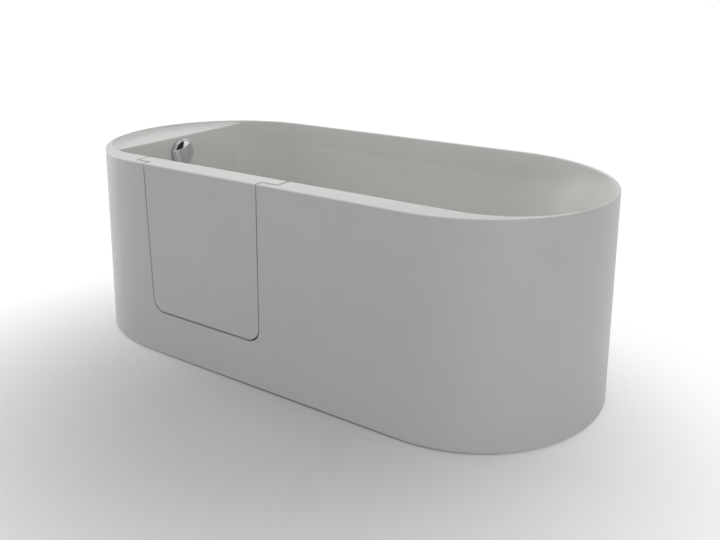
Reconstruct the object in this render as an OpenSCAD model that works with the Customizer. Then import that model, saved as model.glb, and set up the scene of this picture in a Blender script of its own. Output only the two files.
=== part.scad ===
// Free-standing walk-in bathtub with an inward-opening plug door.
// The origin is on the floor under the middle of the tub, +X toward the backrest,
// -Y toward the door and +Z up. All sizes are in millimetres.

/* [Tub] */
// Overall length
tub_l = 1700; // [1660:10:1800]
// Overall width
tub_w = 800; // [780:5:840]
// Height of the rim above the floor
tub_h = 600; // [580:5:640]
// Thickness of the outer skirt
skirt_t = 6; // [5:0.5:8]
// Thickness of the basin wall
basin_t = 5.7; // [5:0.1:8]
// Glue line between the basin and the skirt
bond = 0.3; // [0.2:0.1:0.5]
// Width of the flat rim on the door side
rim_near = 76; // [74:1:84]
// Radius that carries the wide rim round into the thin lip
rim_blend = 270; // [250:5:290]
// Radius of the outer edge of the rim
edge_r = 4; // [2:0.5:5]
// Radius of the inner edge of the rim
inner_edge_r = 3; // [2:0.5:4]
// Shadow gap between the skirt and the floor
base_gap = 4; // [3:0.5:8]

/* [Basin] */
// Height of the basin floor
floor_h = 70; // [68:1:74]
// Length of the deck, from the outer end to the flat wall
deck_l = 165; // [155:5:175]
// Depth of the deck below the rim
deck_drop = 13; // [10:1:15]
// Radius of the two upright corners of the flat wall
wall_corner = 40; // [30:2:50]
// Slope run of the backrest, from its top to the flat floor
back_run = 338; // [300:2:360]
// Radius between the backrest and the floor
back_fillet = 150; // [120:5:170]
// Depth of the upright band at the top of the far wall
far_band = 115; // [100:5:130]
// Run of the far wall, from its top to the flat floor
far_run = 138; // [120:2:140]
// Radius between the far wall and the floor
far_fillet = 90; // [70:5:100]
// Radius at the foot of the flat wall
end_fillet = 35; // [25:1:45]
// Radius at the foot of the near wall
near_fillet = 14; // [10:1:15]

/* [Door] */
// Distance of the middle of the door from the deck end of the tub
door_off = 640; // [636:0.5:650]
// Width of the door's outer panel at the rim
door_w = 429; // [425:1:445]
// Height of the panel's lower edge above the floor
door_sill = 141; // [139:1:150]
// Radius of the panel's lower corners
door_corner = 40; // [34:1:46]
// Lean of the hinge edge, in degrees
door_lean = 2.4; // [1.8:0.1:2.8]
// Thickness of the outer panel, up to the step
panel_t = 28; // [26:0.5:32]
// Overlap of the inner flange past the panel
step_w = 54; // [50:1:56]
// Gap round the door
seam = 3.5; // [3.5:0.1:4]
// Wall of the hollow door shell
shell_t = 12; // [10:0.5:13]
// Thickness of the inner cover of the door
liner_t = 6; // [5:0.5:7]
// Width of the door seal
seal_w = 12; // [8:0.5:16]

/* [Hinges] */
// Distance of the hinge axis from the flange's upper corner, along the tub
hinge_inset = 9.5; // [9:0.5:11]
// Distance of the hinge axis from the inner wall face
hinge_off = 8; // [8:0.5:9]
// Outer diameter of the knuckles
barrel_d = 14; // [13:0.5:15]
// Diameter of the hinge pins
pin_d = 8; // [7:0.5:9]
// Radial clearance of the turning fits
run_fit = 0.05; // [0.03:0.01:0.08]
// Height of one hinge
hinge_h = 72; // [66:1:80]
// Width of one hinge plate
plate_w = 48; // [46:1:50]
// Thickness of one hinge plate
plate_t = 4; // [3:0.5:4.5]
// Height of the middle of the lower hinge
hinge_low = 190; // [190:5:220]
// Distance of the middle of the upper hinge below the rim
hinge_drop = 95; // [85:5:120]
// Shank diameter of the hinge screws
screw_d = 5; // [4:0.5:5]
// Length of the hinge screws
screw_l = 26; // [22:1:28]

/* [Latch] */
// Distance of the latch below the rim
latch_drop = 170; // [160:5:200]
// Distance of the handle from the flange's latch edge
latch_inset = 58; // [54:1:62]
// Diameter of the bolt
bolt_d = 14; // [12:0.5:15]
// Travel of the bolt
bolt_travel = 16; // [14:0.5:17]
// Length of the handle's lever
lever_l = 112; // [100:2:120]
// Diameter of the spindle of the handle
spindle_d = 10; // [9:0.5:11]
// Thickness of the keeper
keeper_t = 3; // [2:0.5:4]

/* [Waste and overflow] */
// Distance of the waste from the flat wall
waste_off = 100; // [96:1:110]
// Outer diameter of the waste flange
flange_d = 72; // [70:1:76]
// Diameter of the hole in the floor
drain_d = 52; // [50:1:54]
// Diameter of the plug cap
plug_d = 62; // [58:1:64]
// Lift of the plug
plug_lift = 12; // [8:1:14]
// Outer diameter of the outlet
outlet_d = 40; // [38:1:42]
// Height of the outlet's lower end
outlet_low = 5; // [4:1:8]
// Height of the underside of the waste body
body_low = 30; // [29:1:31]
// Outer diameter of the overflow pipe
pipe_d = 25; // [22:1:26]
// Distance of the overflow below the rim
overflow_drop = 70; // [66:1:80]
// Sideways place of the waste and overflow
overflow_y = 6; // [0:1:10]
// Diameter of the overflow knob
knob_d = 96; // [90:1:100]
// Height of the knob above the flat wall
knob_h = 24; // [22:1:28]
// Gap behind the knob, where the water goes in
knob_gap = 3.5; // [3:0.5:5]
// Diameter of the hole for the overflow
overflow_d = 50; // [46:1:54]
// Diameter of the control cable
cable_d = 6; // [5:0.5:7]

/* [Base] */
// Side of the steel tubes of the base frame
tube_w = 24; // [22:1:26]
// Height of the frame's underside
frame_low = 20; // [19:0.5:21]
// Diameter of the foot pads
foot_d = 50; // [40:2:60]
// Thickness of the foot pads
foot_t = 10; // [8:0.5:10]
// Diameter of the foot studs
stud_d = 10; // [8:1:12]

/* [Hidden] */
$fn = 64;

// A gap that keeps two pieces just clear of each other
clear = 0.3;
// How far a cutter runs past what it cuts
past = 5;

tub_white = "#D6D6D0";
frame_white = "#BDBDB6";
steel = "#A9ADB0";
chrome = "#D9DCDF";
black_rubber = "#2B2B2C";
grey_plastic = "#7C8084";
board_brown = "#B08E5E";

// Outline radii and centres, seen from above
outer_r = tub_w / 2;
end_x = tub_l / 2 - outer_r;
skirt_in_r = outer_r - skirt_t;
basin_out_r = skirt_in_r - bond;
lip_r = basin_out_r - basin_t;
near_y = -(outer_r - rim_near);
blend_y = near_y + rim_blend;
blend_x = end_x + sqrt(pow(lip_r - rim_blend, 2) - pow(blend_y, 2));
blend_a = atan2(blend_y, blend_x - end_x);

// Heights of the top moulding
rim_t = deck_drop + basin_t;
rim_low = tub_h - rim_t;
deck_h = tub_h - deck_drop;

// Flat wall of the basin and its two upright corners
flat_x = -tub_l / 2 + deck_l;
corner_x = flat_x + wall_corner;
near_corner_y = blend_y - sqrt(pow(rim_blend - wall_corner, 2) - pow(corner_x + blend_x, 2));
far_corner_y = sqrt(pow(lip_r - wall_corner, 2) - pow(corner_x + end_x, 2));
near_corner_a = 360 + atan2(near_corner_y - blend_y, corner_x + blend_x);
far_corner_a = atan2(far_corner_y, corner_x + end_x);

// Edges of the flat floor
floor_x0 = flat_x + end_fillet;
floor_x1 = end_x + lip_r - back_run;
floor_y0 = near_y + near_fillet;
floor_y1 = lip_r - far_run;

// Door: r is measured outward from the lower corners' centres, y across the wall
front_y = -outer_r;
step_y = front_y + panel_t;
panel_r = door_corner;
flange_r = door_corner + step_w;
door_right = door_off - tub_l / 2 + door_w / 2;
door_left = door_right - door_w;
corner_z = door_sill + door_corner;
lean_run = (tub_h - corner_z + door_corner * sin(door_lean)) / cos(door_lean);
corner_l = [door_left + lean_run * sin(door_lean) + door_corner * cos(door_lean), corner_z];
corner_r = [door_right - door_corner, corner_z];
flange_right = door_right + step_w;
flange_left = door_left - step_w;
jamb_right = flange_right + seam;
pocket_front = front_y + shell_t;

// Hinge
hinge_x = flange_left + hinge_inset;
hinge_y = near_y + hinge_off;
hinge_high = tub_h - hinge_drop;
barrel_r = barrel_d / 2;
knuckle_gap = 0.4;
knuckle_h = (hinge_h - 2 * knuckle_gap) / 3;
screw_pitch = 24;
screw_x = 0.7 * plate_w + barrel_r;
bar_w = plate_w / 2;

// Latch
latch_x = flange_right - latch_inset;
latch_h = tub_h - latch_drop;
flange_mid_y = (step_y + near_y) / 2;
case_y0 = step_y + shell_t - 2 + clear;
case_y1 = near_y - liner_t - clear;
case_x1 = flange_right - shell_t - clear;
case_l = 84;
case_h = 90;
bolt_rest = flange_right - 0.5;
bolt_l = latch_inset - 10;
rosette_t = 6;
rosette_d = 48;

// Waste and overflow
waste_x = flat_x + waste_off;
waste_y = overflow_y;
overflow_h = tub_h - overflow_drop;
body_r = 38;
body_wall = 5;
gasket_t = 3;
flange_t = 2.5;
body_top = floor_h - basin_t - gasket_t;
pipe_h = body_top - 1.3 - pipe_d / 2;
pipe_back = 31;
pipe_x = flat_x - pipe_back;
pipe_bend = 40;
box_r = 35;
box_l = 41;
cable_off = 28;
seat = 0.6;
plate_d = overflow_d + 14;
cable_h = 46;
cable_bend = 30;
cable_reach = sqrt(pow(body_r, 2) - pow(cable_off, 2));
axle_d = 8;

// Base
bar_x = [10 - end_x, 0, end_x - 50];
rail_y = outer_r * [-0.5, 0.4];
foot_y = (outer_r - 70) * [-1, 1];
bar_len = tub_w - 60;
board_x = [waste_x + 85, end_x - 20];
board_y = [floor_y0 + 20, floor_y1 - 20];

/* ---------- Outline helpers ---------- */

// Points of an arc, each with the angle at which it faces: [x, y, angle]
function arc(c, r, a0, a1, n, skip = 0) =
    [for (i = [skip : n]) let (a = a0 + (a1 - a0) * i / n) [c.x + r * cos(a), c.y + r * sin(a), a]];

// Points on a straight stretch, which all face one way
function along(xs, y, a) = [for (x = xs) [x, y, a]];

// Line-by-line reading of a small table of [input, value] pairs
function table(t, v, i = 0) =
    i >= len(t) - 1 ? t[len(t) - 1].y
    : v <= t[i + 1].x ? t[i].y + (t[i + 1].y - t[i].y) * max(0, v - t[i].x) / (t[i + 1].x - t[i].x)
    : table(t, v, i + 1);

// Outline of the basin's mouth, anticlockwise from the near corner of the flat wall
near_x0 = 11 - blend_x;
near_x1 = floor_x1 - 177;
near_x = [for (u = [0 : 0.25 : 1]) near_x0 + u * (near_x1 - near_x0)];
far_x = tub_l * [0.17, 0.06, -0.06, -0.17];
mouth = concat(
    arc([corner_x, near_corner_y], wall_corner, 180, near_corner_a, 6),
    arc([-blend_x, blend_y], rim_blend, near_corner_a, 270, 4, 1),
    along(near_x, near_y, 270),
    arc([blend_x, blend_y], rim_blend, 270, 360 + blend_a, 8),
    arc([end_x, 0], lip_r, 360 + blend_a, 450, 16, 1),
    along(far_x, lip_r, 450),
    arc([-end_x, 0], lip_r, 450, 360 + far_corner_a, 5),
    arc([corner_x, far_corner_y], wall_corner, 360 + far_corner_a, 540, 6, 1)
);

// Outline of the flat floor, point for point with the mouth
floor_near_r = 60;
floor_back_r = 120;
floor_far_r = 100;
back_y0 = floor_y0 + floor_back_r;
back_y1 = floor_y1 - floor_back_r;
foot_outline = concat(
    arc([floor_x0 + floor_near_r, floor_y0 + floor_near_r], floor_near_r, 180, 270, 10),
    along(near_x, floor_y0, 270),
    arc([floor_x1 - floor_back_r, back_y0], floor_back_r, 270, 360, 9),
    [for (i = [1 : 5]) [floor_x1, back_y0 + (back_y1 - back_y0) * i / 6, 360]],
    arc([floor_x1 - floor_back_r, back_y1], floor_back_r, 360, 450, 9, 0),
    along(0.9 * far_x, floor_y1, 450),
    arc([floor_x0 + floor_far_r, floor_y1 - floor_far_r], floor_far_r, 450, 540, 11)
);

// Foot radius and shoulder height round the basin, by the way the mouth faces
foot_radius = [
    [180, end_fillet], [270, near_fillet], [300, 0.6 * back_fillet], [335, back_fillet], [400, back_fillet],
    [450, far_fillet], [540, end_fillet]
];
shoulder_drop = [
    [180, 40], [270, 100], [300, 60], [333, inner_edge_r + 2], [388, inner_edge_r + 2], [418, 45],
    [428, 0.68 * far_band],
    [442, 0.7 * far_band], [450, far_band], [540, 40]
];

// Wall of the basin from the rim to the floor, at one point of the outline.
// grow moves it outward, for the back of the moulding.
function wall(i, grow, steps) =
    let (
        m = mouth[i], f = foot_outline[i],
        top = [m.x + grow * cos(m.z), m.y + grow * sin(m.z)],
        foot = [f.x + grow * cos(f.z), f.y + grow * sin(f.z)],
        run = norm(foot - top),
        dir = (foot - top) / run,
        low = floor_h - grow,
        r = min(table(foot_radius, m.z) + grow, run),
        shoulder = tub_h - table(shoulder_drop, m.z),
        depth = shoulder - low - r,
        slope = atan2(depth, run) + asin(r / norm([run, depth])),
        at = function (s, z) [top.x + s * dir.x, top.y + s * dir.y, z]
    )
    concat(
        [at(0, shoulder)],
        [for (k = [0 : steps]) let (a = slope * (1 - k / steps)) at(run - r * sin(a), low + r - r * cos(a))]
    );

// Solid between rings of points, from the top ring to the bottom one
module loft(rings) {
    n = len(rings[0]);
    m = len(rings);
    polyhedron(
        points = [for (r = rings) each r],
        faces = concat(
            [[for (i = [n - 1 : -1 : 0]) i]],
            [for (j = [0 : m - 2], i = [0 : n - 1]) let (k = (i + 1) % n, a = j * n, b = a + n)
                each [[a + i, a + k, b + k], [a + i, b + k, b + i]]],
            [[for (i = [0 : n - 1]) (m - 1) * n + i]]
        )
    );
}

// Ring of an outline, moved outward by grow, at height z
function ring(outline, grow, z) = [for (p = outline) [p.x + grow * cos(p.z), p.y + grow * sin(p.z), z]];

// Rings of the basin's wall below the rim
function wall_rings(grow, steps) =
    let (columns = [for (i = [0 : len(mouth) - 1]) wall(i, grow, steps)])
    [for (j = [0 : steps + 1]) [for (c = columns) c[j]]];

// Rounded edge between a flat top at height z and an upright wall
function edge_rings(outline, r, z) = concat(
    [ring(outline, r, z + past)],
    [for (a = [0 : 30 : 90]) ring(outline, r - r * sin(a), z - r + r * cos(a))]
);

module basin_hollow() {
    loft(concat(edge_rings(mouth, inner_edge_r, tub_h), wall_rings(0, 7)));
}

module basin_back() {
    loft(concat([ring(mouth, basin_t, tub_h - 1)], wall_rings(basin_t, 6)));
}

// Sunk deck: the thin lip runs round it, with a hollow radius at its foot
module deck_recess() {
    side = flat_x + wall_corner;
    r = deck_drop - inner_edge_r;
    outline = concat(
        arc([-end_x, 0], lip_r, 360 + acos((side + end_x) / lip_r), 540, 12),
        arc([-end_x, 0], lip_r, 540, 540 - blend_a, 3, 1),
        arc([-blend_x, blend_y], rim_blend, 540 - blend_a, 540 + acos(-(side + blend_x) / rim_blend), 4, 1)
    );
    loft(concat(
        edge_rings(outline, inner_edge_r, tub_h),
        [for (a = [22.5 : 22.5 : 90]) ring(outline, -r + r * cos(a), deck_h + r - r * sin(a))]
    ));
}

module stadium(r) {
    for (s = [-1, 1]) translate([s * end_x, 0]) circle(r, $fn = 128);
    square([2 * end_x, 2 * r], center = true);
}

// Solid with two half-round ends, from a half profile in radius and height
module sweep_round() {
    for (s = [0, 1]) mirror([s, 0, 0]) translate([end_x, 0, 0]) rotate([0, 0, -90])
        rotate_extrude(angle = 180, $fn = 128) children();
    for (s = [0, 1]) mirror([0, s, 0]) rotate([90, 0, 90])
        linear_extrude(2 * end_x, center = true) children();
}

// Polygon with every listed corner rounded: points are [x, y, radius]
module rounded(points, fn = 64) {
    n = len(points);
    flat = [for (p = points) [p.x, p.y]];
    corners = [for (i = [0 : n - 1]) if (points[i].z > 0)
        let (
            p = flat[i], a = flat[(i + n - 1) % n] - p, b = flat[(i + 1) % n] - p,
            ua = a / norm(a), ub = b / norm(b),
            half = acos(ua * ub) / 2, r = points[i].z,
            mid = (ua + ub) / norm(ua + ub)
        )
        [p, p + ua * r / tan(half), p + mid * r / sin(half), p + ub * r / tan(half), r,
            ua.x * ub.y - ua.y * ub.x]];
    module kite(c) polygon([c[0], c[1], c[2], c[3]]);
    difference() {
        union() {
            polygon(flat);
            for (c = corners) if (c[5] > 0) difference() {
                kite(c);
                translate(c[2]) circle(c[4], $fn = fn);
            }
        }
        for (c = corners) if (c[5] < 0) difference() {
            kite(c);
            translate(c[2]) circle(c[4], $fn = fn);
        }
    }
}

/* ---------- Door outline ---------- */

// Open chain of [x, y, radius] corners as points, each corner drawn as an arc of n steps,
// without the two ends, which only give the first and last corner their direction
function soften(chain, n) = [for (i = [1 : len(chain) - 2])
    let (
        p = [chain[i].x, chain[i].y], r = chain[i].z,
        a = [chain[i - 1].x, chain[i - 1].y] - p, b = [chain[i + 1].x, chain[i + 1].y] - p,
        ua = a / norm(a), ub = b / norm(b), half = acos(ua * ub) / 2,
        c = p + (ua + ub) / norm(ua + ub) * r / sin(half),
        ta = p + ua * r / tan(half) - c, tb = p + ub * r / tan(half) - c,
        a0 = atan2(ta.y, ta.x), turn = (atan2(tb.y, tb.x) - a0 + 900) % 360 - 180
    )
    each [for (k = [0 : n]) c + r * [cos(a0 + turn * k / n), sin(a0 + turn * k / n)]]];

// Outline of the door seen from outside, at the offset r and the depth y: down the hinge edge,
// which leans, along the sill and up the latch edge
corner_steps = 10;
function door_ring(r, y, top) =
    let (
        a = door_lean,
        up = (top - corner_l.y + r * sin(a)) / cos(a)
    )
    concat(
        [[corner_l.x - r * cos(a) - up * sin(a), y, top]],
        [for (k = [0 : corner_steps]) let (t = 180 + a + (90 - a) * k / corner_steps)
            [corner_l.x + r * cos(t), y, corner_l.y + r * sin(t)]],
        [for (k = [0 : corner_steps]) let (t = 270 + 90 * k / corner_steps)
            [corner_r.x + r * cos(t), y, corner_r.y + r * sin(t)]],
        [[corner_r.x + r, y, top]]
    );

// Solid of the door's outline, through a chain of offsets r and depths y from the front to the back
module door_form(chain, top) loft([for (p = chain) door_ring(p.x, p.y, top)]);

// Opening round the door, a gap wider than the door all round
module plug_cutter(gap) {
    r0 = panel_r + gap;
    r1 = flange_r + gap;
    face = step_y - gap;
    top = tub_h + 2 * past;
    door_form(concat(
        [[r0, front_y - past]],
        soften([[r0, front_y, 0], [r0, face, 6], [r1, face, 0]], 4),
        [[r0 + 6, face + 1]]
    ), top);
    door_form(concat(
        soften([[r0, face, 0], [r1, face, 5], [r1, near_y, 0]], 4), [[r1, near_y + past]]
    ), top);
}

// Stepped plug of the door, with the rim's own edges along its top
module door_solid() {
    intersection() {
        union() {
            door_form(concat(
                soften([[0, front_y, 0], [panel_r, front_y, 2], [panel_r, step_y, 4], [flange_r, step_y, 0]], 4),
                [[panel_r + 4, step_y + 1]]
            ), tub_h + past);
            door_form(
                soften([[0, step_y, 0], [flange_r, step_y, 7], [flange_r, near_y, 2], [0, near_y, 0]], 4),
                tub_h + past
            );
        }
        rotate([90, 0, 90]) linear_extrude(tub_l, center = true) rounded([
            [front_y, 0, 0], [near_y, 0, 0], [near_y, tub_h, inner_edge_r], [front_y, tub_h, edge_r]
        ]);
    }
}

// Hollow of the door, open to the basin
module door_pocket() {
    mid = step_y + shell_t - 2;
    door_form([for (y = [pocket_front, mid + 1]) [panel_r - shell_t, y]], tub_h - shell_t);
    door_form([for (y = [mid, near_y + 1]) [flange_r - shell_t, y]], tub_h - shell_t);
}

/* ---------- Tub ---------- */

module basin() {
    color(tub_white) difference() {
        union() {
            sweep_round() rounded([
                [0, rim_low, 0], [outer_r, rim_low, 0], [outer_r, tub_h, edge_r], [0, tub_h, 0]
            ], 16);
            basin_back();
        }
        basin_hollow();
        deck_recess();
        plug_cutter(seam);
        translate([waste_x, waste_y, 0]) cylinder(d = drain_d, h = floor_h + past);
        overflow_axis() translate([0, 0, -deck_l / 2]) cylinder(d = overflow_d, h = deck_l);
        overflow_axis() translate([0, 0, -seat]) cylinder(d = plate_d + 2 * clear, h = past);
        frame_screws() cylinder(d = screw_d + 2 * run_fit, h = screw_l, $fn = 24);
    }
}

module skirt() {
    color(tub_white) difference() {
        translate([0, 0, base_gap]) linear_extrude(rim_low - base_gap) difference() {
            stadium(outer_r);
            stadium(skirt_in_r);
        }
        plug_cutter(seam);
    }
}

// Solid jambs and sill between the skirt and the basin, stepped for the door
module door_frame() {
    jamb = 60;
    x0 = flange_left - jamb;
    x1 = flange_right + jamb;
    z0 = frame_low + tube_w;
    color(frame_white) difference() {
        intersection() {
            translate([0, 0, z0]) linear_extrude(rim_low - z0) stadium(basin_out_r);
            translate([x0, -outer_r, 0]) cube([x1 - x0, rim_near - basin_t - bond, tub_h]);
        }
        plug_cutter(seam);
        frame_screws() cylinder(d = screw_d + 2 * run_fit, h = screw_l + 1);
        keeper_plate(0);
        keeper_axis() {
            cylinder(d = bolt_d + 2, h = 24);
            keeper_screw_places() cylinder(d = screw_d - 1, h = 18);
        }
    }
}

/* ---------- Hinges ---------- */

// Places of the hinge screws, pointing into the wall
module screw_places(side) {
    for (z = [hinge_low, hinge_high], k = [-1, 0, 1])
        translate([hinge_x + side * screw_x, near_y + plate_t, z + k * screw_pitch]) rotate([90, 0, 0]) children();
}

module frame_screws() screw_places(-1) children();
module door_screws() screw_places(1) children();

module hinge_screw() {
    cylinder(d1 = 2 * screw_d, d2 = screw_d, h = screw_d / 2);
    cylinder(d = screw_d, h = screw_l);
}

// Hinge leaf: side -1 is screwed to the tub, side 1 to the door
module hinge_leaf(side, mid) {
    stand = 0.6;
    own = side < 0 ? [0, 2] : [1];
    neck = barrel_r + 2.5;
    translate([hinge_x, hinge_y, mid - hinge_h / 2]) difference() {
        union() {
            scale_side(side) {
                translate([neck - 1, -hinge_off, 0]) cube([plate_w - neck + 1 + barrel_r, plate_t, hinge_h]);
                for (k = own) translate([0, stand - hinge_off, k * (knuckle_h + knuckle_gap)])
                    cube([neck, plate_t - stand, knuckle_h]);
            }
            for (k = own) translate([0, 0, k * (knuckle_h + knuckle_gap)]) cylinder(d = barrel_d, h = knuckle_h);
        }
        bore = side < 0 ? 0 : run_fit;
        translate([0, 0, -past]) cylinder(d = pin_d + 2 * bore, h = hinge_h + 2 * past);
        translate([-hinge_x, -hinge_y, hinge_h / 2 - mid]) screw_places(side) {
            cylinder(d = screw_d + 2 * run_fit, h = screw_l);
            translate([0, 0, -0.05]) cylinder(d1 = 2 * screw_d + 0.3, d2 = screw_d, h = screw_d / 2 + 0.1);
        }
    }
}

module scale_side(side) {
    if (side < 0) mirror([1, 0, 0]) children();
    else children();
}

module hinge_pin(mid) {
    color(steel) translate([hinge_x, hinge_y, mid - hinge_h / 2]) {
        cylinder(d = pin_d, h = hinge_h);
        translate([0, 0, hinge_h]) cylinder(d = barrel_d - 2, h = 3);
    }
}

module hinge_leaf_frame_lower() color(steel) hinge_leaf(-1, hinge_low);
module hinge_leaf_frame_upper() color(steel) hinge_leaf(-1, hinge_high);
module hinge_leaf_door_lower() color(steel) hinge_leaf(1, hinge_low);
module hinge_leaf_door_upper() color(steel) hinge_leaf(1, hinge_high);
module hinge_pin_lower() hinge_pin(hinge_low);
module hinge_pin_upper() hinge_pin(hinge_high);
module hinge_screws_frame() color(steel) frame_screws() hinge_screw();
module hinge_screws_door() color(steel) door_screws() hinge_screw();

/* ---------- Keeper ---------- */

// Axis of the bolt where it enters the jamb, pointing into it
module keeper_axis() {
    translate([jamb_right, flange_mid_y, latch_h]) rotate([0, 90, 0]) children();
}

module keeper_screw_places() {
    for (s = [-1, 1]) translate([s * 22, 0, 0]) children();
}

module keeper_plate(gap) {
    keeper_axis() translate([0, 0, -1 + gap]) linear_extrude(keeper_t + 1 - gap) square([64 - 2 * gap, 28 - 2 * gap], center = true);
}

module latch_keeper() {
    color(steel) keeper_axis() difference() {
        translate([-32, -14, 0]) cube([64, 28, keeper_t]);
        translate([0, 0, -1]) cylinder(d = bolt_d + 1, h = keeper_t + 2);
        keeper_screw_places() translate([0, 0, -0.05]) cylinder(d1 = 8, d2 = 4, h = 2.05);
        keeper_screw_places() cylinder(d = 4 + 2 * run_fit, h = keeper_t + 1);
    }
}

module keeper_screws() {
    color(steel) keeper_axis() keeper_screw_places() {
        cylinder(d1 = 7.6, d2 = 3.8, h = 1.9);
        cylinder(d = 3.8, h = 17);
    }
}

/* ---------- Door ---------- */

module door_shell() {
    color(tub_white) difference() {
        door_solid();
        door_pocket();
        bolt_axis() cylinder(d = bolt_d + 8, h = latch_inset + past);
    }
}

module door_liner() {
    color(frame_white) difference() {
        door_form(
            [for (y = [near_y - liner_t, near_y]) [flange_r - shell_t - clear, y]], tub_h - shell_t - clear
        );
        latch_axis() translate([0, 0, -liner_t - 1]) cylinder(d = spindle_d + 4, h = liner_t + 2);
        door_screws() cylinder(d = screw_d + 2 * run_fit, h = screw_l);
    }
}

// Rubber strip on the flange, which presses on the frame's step
module door_seal() {
    r0 = panel_r + (step_w - seal_w) / 2;
    y0 = step_y - seam + clear;
    color(black_rubber) difference() {
        door_form([for (y = [y0, step_y]) [r0 + seal_w, y]], tub_h - edge_r);
        door_form([for (y = [y0 - 1, step_y + 1]) [r0, y]], tub_h);
    }
}

module hinge_bar() {
    x0 = hinge_x + screw_x - bar_w / 2;
    end = screw_pitch + 10;
    color(steel) difference() {
        translate([x0, case_y0, hinge_low - end]) cube([bar_w, case_y1 - case_y0, hinge_high - hinge_low + 2 * end]);
        door_screws() cylinder(d = screw_d + 2 * run_fit, h = screw_l + 2);
    }
}

// Axis of the handle, pointing into the basin, from the inner face of the door
module latch_axis() translate([latch_x, near_y, latch_h]) rotate([-90, 0, 0]) children();

// Axis of the bolt, pointing at the keeper, from the handle
module bolt_axis() translate([latch_x, flange_mid_y, latch_h]) rotate([0, 90, 0]) children();

module latch_case() {
    color(steel) difference() {
        translate([case_x1 - case_l, case_y0, latch_h - case_h / 2]) cube([case_l, case_y1 - case_y0, case_h]);
        bolt_axis() translate([0, 0, bolt_rest - latch_x - bolt_l - 1])
            cylinder(d = bolt_d + 2 * run_fit, h = bolt_l + 20);
        latch_axis() translate([0, 0, case_y0 - near_y + 8]) cylinder(d = spindle_d + 2 * run_fit, h = 60);
    }
}

module latch_rosette() {
    color(chrome) latch_axis() difference() {
        rotate_extrude($fn = 96) rounded([
            [0, 0, 0], [rosette_d / 2, 0, 0], [rosette_d / 2, rosette_t, 2], [0, rosette_t, 0]
        ]);
        translate([0, 0, -1]) cylinder(d = spindle_d + 2 * run_fit, h = rosette_t + 2);
    }
}

module bolt_guide() {
    color(steel) bolt_axis() translate([0, 0, flange_right - shell_t - latch_x]) difference() {
        cylinder(d = bolt_d + 8, h = shell_t - 0.2);
        translate([0, 0, -1]) cylinder(d = bolt_d + 2 * run_fit, h = shell_t + 2);
    }
}

/* ---------- Latch ---------- */

module latch_handle() {
    hub_d = 26;
    hub_h = 26;
    grip_t = 11;
    color(chrome) latch_axis() translate([0, 0, rosette_t + clear]) difference() {
        union() {
            rotate_extrude($fn = 96) rounded([
                [0, 0, 0], [hub_d / 2, 0, 0], [hub_d / 2, hub_h, 3], [0, hub_h, 0]
            ]);
            translate([0, 0, hub_h - grip_t]) linear_extrude(grip_t) {
                translate([-8, -lever_l]) square([16, lever_l]);
                translate([0, -lever_l]) circle(8);
            }
        }
        translate([0, 0, -1]) cylinder(d = spindle_d, h = hub_h - grip_t + 1);
    }
}

module latch_spindle() {
    color(steel) latch_axis() translate([0, 0, case_y0 - near_y + 9])
        cylinder(d = spindle_d, h = near_y - case_y0 - 9 + rosette_t + clear + 15);
}

module latch_bolt() {
    color(steel) bolt_axis() translate([0, 0, bolt_rest - latch_x - bolt_l]) rotate_extrude($fn = 64) rounded([
        [0, 0, 0], [bolt_d / 2, 0, 0], [bolt_d / 2, bolt_l, 2], [0, bolt_l, 0]
    ]);
}

/* ---------- Waste ---------- */

module at_waste() translate([waste_x, waste_y, 0]) children();

module waste_flange() {
    throat = drain_d - 2 * clear;
    throat_l = basin_t + gasket_t + 2;
    color(chrome) at_waste() difference() {
        union() {
            translate([0, 0, floor_h]) rotate_extrude($fn = 96) rounded([
                [0, 0, 0], [flange_d / 2, 0, 0], [flange_d / 2, flange_t, 2], [0, flange_t, 0]
            ]);
            translate([0, 0, floor_h - throat_l]) cylinder(d = throat, h = throat_l);
        }
        translate([0, 0, floor_h - throat_l - 1]) cylinder(d = throat - 6, h = throat_l + 10);
    }
}

module waste_gasket() {
    color(black_rubber) at_waste() translate([0, 0, floor_h - basin_t - gasket_t]) difference() {
        cylinder(r = body_r, h = gasket_t);
        translate([0, 0, -1]) cylinder(d = drain_d, h = gasket_t + 2);
    }
}

module waste_body() {
    color(grey_plastic) at_waste() difference() {
        union() {
            translate([0, 0, body_low]) cylinder(r = body_r, h = body_top - body_low);
            translate([0, 0, outlet_low]) cylinder(d = outlet_d, h = body_low - outlet_low + 1);
        }
        difference() {
            translate([0, 0, body_low + body_wall]) cylinder(r = body_r - body_wall, h = 100);
            stem_spider();
        }
        translate([0, 0, outlet_low - 1]) cylinder(d = outlet_d - 6, h = body_low + body_wall - outlet_low + 2);
        translate([0, 0, pipe_h]) rotate([0, -90, 0]) cylinder(d = pipe_d, h = 2 * body_r);
        translate([0, 0, body_low + body_wall]) cylinder(d = axle_d + 2 * run_fit, h = 100);
        translate([-body_r, cable_off, cable_h]) rotate([0, 90, 0]) cylinder(d = cable_d, h = body_r - cable_reach + 3);
    }
}

// Bridge across the waste body, which guides the plug's stem
module stem_spider() {
    low = body_low + body_wall + 4;
    guide_h = body_top - 4 - low;
    translate([-3, -body_r, low]) cube([6, 2 * body_r, guide_h]);
    translate([0, 0, low]) cylinder(d = 16, h = guide_h);
}

module plug_cap() {
    color(chrome) at_waste() translate([0, 0, floor_h + flange_t + clear]) rotate_extrude($fn = 96) difference() {
        intersection() {
            translate([0, -200 + 7]) circle(200, $fn = 128);
            square([plug_d / 2, 20]);
        }
        square([axle_d / 2, 3]);
    }
}

module plug_seal() {
    bore = drain_d - 2 * clear - 6;
    color(black_rubber) at_waste() translate([0, 0, floor_h + flange_t + clear - 3]) difference() {
        cylinder(d = bore - 1, h = 3);
        translate([0, 0, -1]) cylinder(d = axle_d, h = 5);
    }
}

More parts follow.
